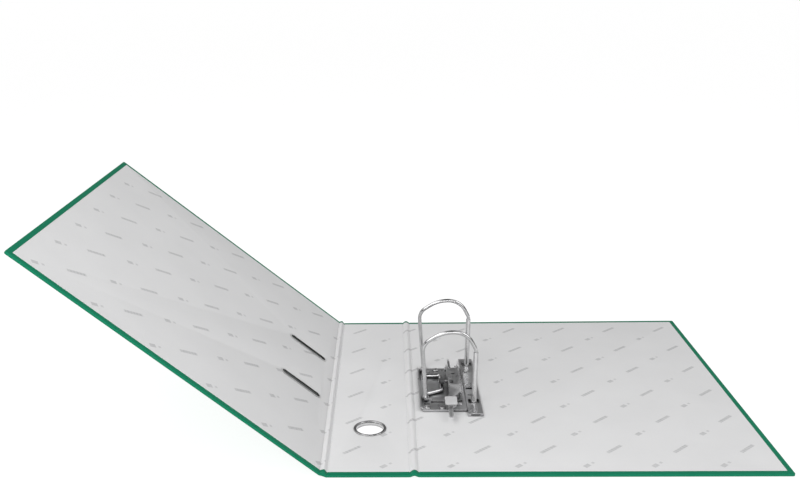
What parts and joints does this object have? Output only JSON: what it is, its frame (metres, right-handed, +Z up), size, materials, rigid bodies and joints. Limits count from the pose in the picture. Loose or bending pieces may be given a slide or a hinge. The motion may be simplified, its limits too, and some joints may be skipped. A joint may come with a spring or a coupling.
{
  "type": "lever arch file",
  "caption": "A4 lever arch file with hinged covers, a spine with finger ring and label pocket, and a metal lever mechanism that opens its arches.",
  "frame": {"origin": "middle of the footprint of the open file, on the table", "axes": "+X from the raised front cover towards the back cover, +Y along the spine towards the file's top edge, +Z up"},
  "size_m": [0.5704, 0.32, 0.1811],
  "materials": {
    "cover_film": "fine embossed polypropylene film, satin",
    "lining_paper": "matt paper with faint grey print",
    "grey_board": "grey board",
    "nickel_steel": "nickel plated, bright",
    "zinc_steel": "plated sheet steel, satin",
    "clear_film": "clear film",
    "label_paper": "smooth white card",
    "pad_plastic": "light grey, satin",
    "roller_plastic": "dark, smooth"
  },
  "bodies": {
    "back_cover": {"back_board": "grey_board", "back_wrap": "cover_film", "back_lining": "lining_paper", "base_plate": "zinc_steel", "post_rail": "zinc_steel", "rivet_a": "nickel_steel", "rivet_b": "nickel_steel", "rivet_c": "nickel_steel", "rivet_d": "nickel_steel", "near_post": "nickel_steel", "far_post": "nickel_steel", "lever_bracket": "zinc_steel", "lever_pin": "nickel_steel", "near_strap": "zinc_steel", "far_strap": "zinc_steel", "back_hinge_strip": "lining_paper"},
    "spine": {"spine_board": "grey_board", "spine_wrap": "cover_film", "spine_lining": "lining_paper", "finger_ring": "nickel_steel", "finger_ring_collar": "nickel_steel", "label_pocket": "clear_film", "front_hinge_strip": "lining_paper"},
    "front_cover": {"front_board": "grey_board", "front_wrap": "cover_film", "front_lining": "lining_paper", "near_slot_eyelet": "nickel_steel", "far_slot_eyelet": "nickel_steel"},
    "label": {"label_card": "label_paper"},
    "arches": {"arch_wire": "nickel_steel"},
    "lever": {"lever": "zinc_steel", "thumb_pad": "pad_plastic", "roller_pin": "nickel_steel"},
    "roller": {"roller": "roller_plastic"}
  },
  "joints": [
    {"name": "spine_fold", "type": "hinge", "parent": "back_cover", "child": "spine", "pos_m": [0.00323, 0, 0.0018], "axis": [0, 1, 0], "range_deg": [0, 90], "deforming": ["back_hinge_strip"]},
    {"name": "cover_fold", "type": "hinge", "parent": "spine", "child": "front_cover", "pos_m": [-0.06607, 0, 0.0018], "axis": [0, 1, 0], "range_deg": [-39.24, 50.76], "deforming": ["front_hinge_strip"]},
    {"name": "label_slide", "type": "slide", "parent": "spine", "child": "label", "axis": [0, 1, 0], "range_m": [0, 0.15]},
    {"name": "lever_turn", "type": "hinge", "parent": "back_cover", "child": "lever", "pos_m": [0.04233, 0.018, 0.0106], "axis": [1, 0, 0], "range_deg": [-75, 0]},
    {"name": "arch_swing", "type": "hinge", "parent": "back_cover", "child": "arches", "pos_m": [0.01673, 0, 0.007], "axis": [0, 1, 0], "range_deg": [-60, 0]},
    {"name": "roller_spin", "type": "hinge", "parent": "lever", "child": "roller", "pos_m": [0.03183, -0.01, 0.0115], "axis": [1, 0, 0], "continuous": true}
  ],
  "couplings": [
    {"joint": "arch_swing", "follows": "lever_turn", "ratio": 0.8}
  ]
}
